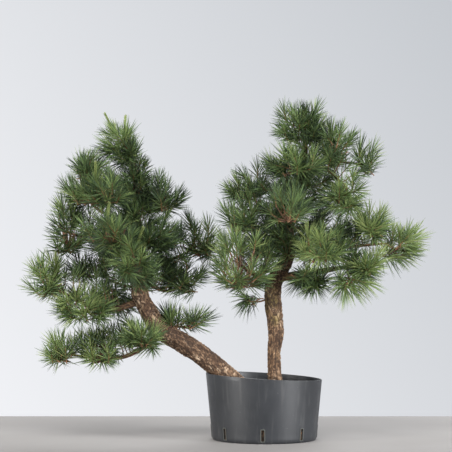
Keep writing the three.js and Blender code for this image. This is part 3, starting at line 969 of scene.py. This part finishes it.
def plant_shoot(bm, kind, base, axis, size, tone, rng):
    """Copy one shoot in, moved in depth if it would reach too far, and return its foot."""
    shoot = SHOOTS[kind][rng.randrange(len(SHOOTS[kind]))]
    spin = Matrix.Rotation(rng.uniform(0, math.tau), 4, "Z")
    aim = axis.to_track_quat("Z", "Y").to_matrix().to_4x4()
    turned = aim @ spin @ Matrix.Scale(size, 4)
    depths = [base.y + (turned @ vert.co).y for vert in shoot.vertices]
    over = max(0, max(depths) - ROOM) + min(0, min(depths) + ROOM)
    foot = base - Vector((0, over, 0))
    copy_into(bm, shoot, Matrix.Translation(foot) @ turned, tone)
    return foot


def fill_clump(tree_name, node, skeleton, number):
    clump = node.removeprefix(tree_name + "_").removesuffix("_foliage")
    facts = {**DEFAULT, **CLUMP_FORM_AND_PAINTED_LIGHT[tree_name].get(clump, {})}
    rng = random.Random(100 + number)
    kinds = facts["kinds"].split()
    bm, layer = toned_bmesh()
    knot, hold, places = shoot_places(node, skeleton, facts, rng)
    places.sort(key=lambda place: -(place[0] + place[1] * REACH).z)
    feet = []
    for rank, (base, axis, size) in enumerate(places):
        kind = "candle" if rank < facts["candles"] else kinds[rng.randrange(len(kinds))]
        # Higher shoots get lighter tones and lower ones darker, with a random spread: painted light from
        # above, painted shade below.
        tone = facts["tone"] + 0.10 - 0.20 * rank / len(places) + rng.uniform(-0.11, 0.09)
        feet.append(plant_shoot(bm, kind, base, axis, size, tone, rng) + axis * 3 * MM)
    sag(bm, layer, facts["droop"])
    return bm, knot, hold, feet


# %% [markdown]
# ## Needle colours
# Needles are dark blue-green when old, mid green, and yellow-green when new, with a brown sheath at the foot;
# the dark greens are also used as painted shade and the paler greens as painted light. Buds, candles and
# stems use the upper end of the same scale. Everything comes from the tone and the share of the way along, so
# each needle keeps its colour wherever it is copied.


# %% Needle material
def needle_material():
    material, tree, shader, _ = new_material("pine_needles")
    uv = add(tree, "ShaderNodeUVMap", uv_map=TONES).outputs["UV"]
    split = add(tree, "ShaderNodeSeparateXYZ", {0: uv})
    tone, along = split.outputs["X"], split.outputs["Y"]
    # The dark stops serve as painted shade and the paler greens as painted light, besides the needles' own
    # colours.
    colour = ramp(
        tree, tone,
        [(0.00, (0.016, 0.026, 0.014)), (0.16, (0.038, 0.062, 0.030)), (0.26, (0.068, 0.118, 0.055)),
         (0.34, (0.100, 0.142, 0.044)), (0.42, (0.118, 0.196, 0.074)), (0.54, (0.180, 0.250, 0.078)),
         (0.78, (0.300, 0.360, 0.130)), (0.83, (0.230, 0.270, 0.100)),
         (0.88, (0.230, 0.160, 0.090)), (0.96, (0.260, 0.130, 0.062))],
    )
    is_needle = fade(tree, tone, (0.81, 1), (0.82, 0))
    for first, last, tint in (
        ((0.02, 0.75), (0.12, 0), (0.20, 0.13, 0.06)),  # brown sheath
        ((0.15, 0.45), (0.6, 0), (0.16, 0.23, 0.07)),  # paler lower half
        ((0.93, 0), (1.0, 0.45), (0.22, 0.19, 0.07)),  # dry tip
    ):
        share = calculate(tree, "MULTIPLY", fade(tree, along, first, last), is_needle)
        colour = blend(tree, share, colour, tint)
    roughness = fade(tree, along, (0.0, 0.62), (1.0, 0.50))
    shader.inputs["Specular IOR Level"].default_value = 0.35
    finish_shader(tree, shader, colour, roughness)
    return material


needles = needle_material()
print("needle material ready")

# %% [markdown]
# ## Twigs
# Between the boughs and the shoots run thin reddish twigs. Each clump gets one from the wood to its knot, and
# finer ones from the knot to the foot of each shoot. They are short lofts along a slightly sagging line, all
# of one tree in one piece.


# %% Twigs
def twig_into(whole, start, end, diameter, tip_diameter, bend):
    middle = (start + end) / 2 - UP * bend * (end - start).length
    points = [(*start, diameter), (*middle, (diameter + tip_diameter) / 2), (*end, tip_diameter)]
    bm = bmesh.new()
    facts = rolled_limb(bm, points, 6, 9 * MM)
    for vert, (radius, out, straight) in facts.items():
        vert.co += out * radius * 0.28 * noise.noise(straight * 140)
    close_tube(bm, 1e-5)
    join_into(whole, bm)


def twig_material():
    material, tree, shader, where = new_material("young_bark")
    fine = cloud(tree, where, 330, 4)
    broad = cloud(tree, where, 45, 3)
    colour = ramp(
        tree, fine, [(0.30, (0.075, 0.036, 0.020)), (0.55, (0.190, 0.095, 0.048)), (0.75, (0.33, 0.20, 0.12))]
    )
    colour = blend(tree, fade(tree, broad, (0.4, 0), (0.7, 0.6)), colour, (0.12, 0.085, 0.060))
    roughness = fade(tree, fine, (0.3, 0.7), (0.7, 0.9))
    finish_shader(tree, shader, colour, roughness, fine, 0.001, 0.8)
    return material


young_bark = twig_material()

# %% [markdown]
# ## Shoots along the wood
# Between the outer clumps, weaker shoots stand along the trunk's upper part and on the boughs, and they close
# the canopy. They are set every few centimetres up the wood, each a golden angle round from the last, and
# they lean outward and up. Their needles are painted darker than the clumps': painted shade inside the crown.


# %% Inner shoots
def inner_shoots(limbs, plan, rng):
    """Starts on the wood, feet, axes and sizes of shoots along limbs."""
    found = []
    for number, (low, high, spacing, lift) in enumerate(plan):
        line = smooth_line(limbs[number], spacing * MM)
        frames = frames_along(line)
        for ring, row in enumerate(line):
            share = ring / (len(line) - 1)
            if not low <= share <= high:
                continue
            turn = ring * GOLDEN + rng.uniform(-0.4, 0.4)
            side, upper = frames[ring]
            out = side * math.cos(turn) + upper * math.sin(turn)
            if number and out.z < -0.35 and lift > 0.2:
                out.negate()
            along = Vector(np.gradient(line[:, :3], axis=0)[ring]).normalized()
            foot = Vector(row[:3]) + out * (row[3] / 2 + rng.uniform(8, 58) * MM)
            axis = out * 0.8 + UP * lift + along * (0.35 if number else 0) + jitter(rng, 0.25)
            if number or share < 0.78:
                found.append((Vector(row[:3]), foot, axis.normalized(), rng.uniform(0.72, 0.95)))
            if number == 0:  # the trunk's upper part is hidden from the front by shoots of its own
                out = Vector((rng.uniform(-0.6, 0.6), -1, 0)).normalized()
                foot = Vector(row[:3]) + out * (row[3] / 2 + rng.uniform(10, 45) * MM)
                axis = out * 0.7 + UP * rng.uniform(0.2, 0.9) + Vector((rng.uniform(-0.5, 0.5), 0, 0))
                found.append((Vector(row[:3]), foot, axis.normalized(), rng.uniform(0.75, 0.95)))
    return found


def plant_inner(tree_name, limbs, twigs, seed):
    rng = random.Random(seed)
    bm, layer = toned_bmesh()
    found = inner_shoots(limbs, INNER[tree_name], rng)
    for start, foot, axis, size in found:
        kind = rng.choice(("dense", "open", "open"))
        # Inner shoots get darker tones than the clumps: painted shade inside the crown.
        foot = plant_shoot(bm, kind, foot, axis, size, rng.uniform(-0.24, 0.0), rng)
        twig_into(twigs, start, foot + axis * 3 * MM, 4.6 * MM, 3.4 * MM, 0.05)
    sag(bm, layer, DEFAULT["droop"])
    piece = hand_over(tree_name + "_inner_needles", bm, needles)
    print(tree_name, len(found), "inner shoots", faces_of(piece), "triangles")


# For the trunk and then each bough: from and to as shares of its length, spacing in millimetres, and lift.
INNER = {
    "leaning_tree": [
        (0.50, 0.93, 10, 0.45), (0.15, 0.85, 13, 0.55), (0.25, 0.95, 16, 0.50), (0.40, 0.95, 20, 0.50),
        (0.02, 0.80, 11, 0.25), (0.20, 0.98, 15, 0.40), (0.25, 0.98, 16, 0.50), (0.40, 0.95, 24, 0.50),
        (0.40, 0.95, 24, 0.50), (0.25, 0.98, 17, 0.50), (0.25, 0.80, 20, 0.50),
    ],
    "upright_tree": [
        (0.50, 0.97, 10, 0.45), (0.10, 0.92, 12, 0.30), (0.30, 0.98, 12, 0.40), (0.20, 0.98, 15, 0.50),
        (0.40, 0.95, 24, 0.50), (0.40, 0.95, 24, 0.50), (0.40, 0.95, 24, 0.50), (0.25, 0.98, 18, 0.50),
        (0.25, 0.98, 20, 0.50), (0.25, 0.90, 20, 0.50), (0.25, 0.75, 24, 0.50),
    ],
}

# %% [markdown]
# ## Dress both trees
# Each clump becomes one piece that stands for its plain solid, and each tree's twigs become one piece.
# The triangles are counted and printed as they are made.


# %% Dress the trees
def dress(tree_name, limbs, first_number):
    skeleton = np.vstack([smooth_line(points, 8 * MM) for points in limbs])
    skeleton = skeleton[skeleton[:, 2] > POT_HEIGHT + 40 * MM]
    twigs = bmesh.new()
    total = 0
    for number, node in enumerate(clump_nodes(tree_name)):
        bm, knot, hold, feet = fill_clump(tree_name, node, skeleton, first_number + number)
        if (knot - hold).length > 12 * MM:
            twig_into(twigs, hold, knot, 7.5 * MM, 5 * MM, 0.08)
        for foot in feet:
            if (foot - knot).length > 8 * MM:
                twig_into(twigs, knot, foot, 4.2 * MM, 3.4 * MM, 0.10)
        piece = hand_over(node.replace("_foliage", "_needles"), bm, needles, [node])
        total += faces_of(piece)
    plant_inner(tree_name, limbs, twigs, first_number + 500)
    twig_piece = hand_over(tree_name + "_twigs", twigs, young_bark, sharp=180)
    print(tree_name, "needles", total, "triangles, twigs", faces_of(twig_piece))


dress("leaning_tree", leaning_limbs, 0)
dress("upright_tree", upright_limbs, 50)

# %% [markdown]
# ## Floor, backdrop and light
# A studio: a pale grey concrete floor that ends a little behind the plant, and a sky that stands for the pale
# room. The sky is bright where a backdrop would hang and dimmer all round, and nothing hides the plant from
# behind. Two tall soft lights stand left and right, one hangs in front above, and two small ones stand near
# the floor: the tall and the small ones give the pot its two broad upright sheens. A last one hangs behind.


# %% Stage
FLOOR_END = 0.86  # just behind the plant
WIDE = 9


def floor_material():
    material, tree, shader, where = new_material("floor_concrete")
    depth = add(tree, "ShaderNodeSeparateXYZ", {0: where}).outputs["Y"]
    # The floor is painted darker towards the front, where the lamps light it most: painted shade that evens
    # out their light.
    share = calculate(tree, "ADD", calculate(tree, "MULTIPLY", depth, 0.62), 0.46)
    share = calculate(tree, "ADD", share, calculate(tree, "MULTIPLY", cloud(tree, where, 0.9, 4), 0.2))
    colour = ramp(tree, share, [(0.0, (0.225, 0.213, 0.206)), (1.0, (0.41, 0.39, 0.377))])
    roughness = fade(tree, cloud(tree, where, 3, 3), (0.3, 0.7), (0.7, 0.9))
    finish_shader(tree, shader, colour, roughness)
    return material


bm = bmesh.new()
corners = [(-WIDE, -WIDE, 0), (WIDE, -WIDE, 0), (WIDE, FLOOR_END, 0), (-WIDE, FLOOR_END, 0)]
bm.faces.new([bm.verts.new(corner) for corner in corners])
floor_mesh = mesh_from("floor", bm)
floor_mesh.materials.append(floor_material())
floor = bpy.data.objects.new("floor", floor_mesh)
scene.collection.objects.link(floor)


def soft_light(name, place, aim, size, watts, colour=(1.0, 1.0, 1.0)):
    data = bpy.data.lights.new(name, "AREA")
    data.shape, data.size, data.size_y = "RECTANGLE", size[0], size[1]
    data.energy, data.color = watts, colour
    light = bpy.data.objects.new(name, data)
    light.location = place
    light.rotation_euler = (Vector(aim) - Vector(place)).to_track_quat("-Z", "Y").to_euler()
    scene.collection.objects.link(light)


soft_light("left", (-2.8, -2.0, 1.2), (-0.1, 0, 1.0), (0.7, 2.3), 80, (1.0, 0.98, 0.95))
soft_light("right", (2.7, -2.0, 1.1), (0.1, 0, 0.9), (0.9, 2.1), 105, (0.97, 0.98, 1.0))
soft_light("low_left", (-1.9, -1.35, 0.22), (0, 0, 0.1), (0.35, 0.36), 10, (1.0, 0.99, 0.97))
soft_light("low_right", (1.95, -1.55, 0.22), (0, 0, 0.1), (0.40, 0.36), 22, (0.98, 0.99, 1.0))
soft_light("top", (-0.4, -2.4, 3.2), (-0.1, 0.1, 0.5), (2.4, 1.4), 85)
soft_light("back", (0.6, 2.9, 2.7), (0, 0, 0.6), (2.6, 1.4), 75)

world = bpy.data.worlds.new("sky")
world.use_nodes = True
scene.world = world
sky = world.node_tree
direction = add(sky, "ShaderNodeTexCoord").outputs["Generated"]
way = add(sky, "ShaderNodeSeparateXYZ", {0: direction}).outputs
sideways = calculate(sky, "MULTIPLY", way["X"], 1.9)
upwards = calculate(sky, "MULTIPLY", way["Z"], 1.3)
fall = calculate(sky, "ADD", calculate(sky, "ADD", sideways, upwards), 0.4)
backdrop = ramp(sky, fall, [(0.0, (0.88, 0.89, 0.92)), (1.0, (0.54, 0.565, 0.60))])
ahead = fade(sky, way["Y"], (0.70, 0), (0.94, 1))
room = blend(sky, ahead, (0.33, 0.345, 0.365), backdrop)
sky.links.new(room, sky.nodes["Background"].inputs["Color"])
print("stage ready")
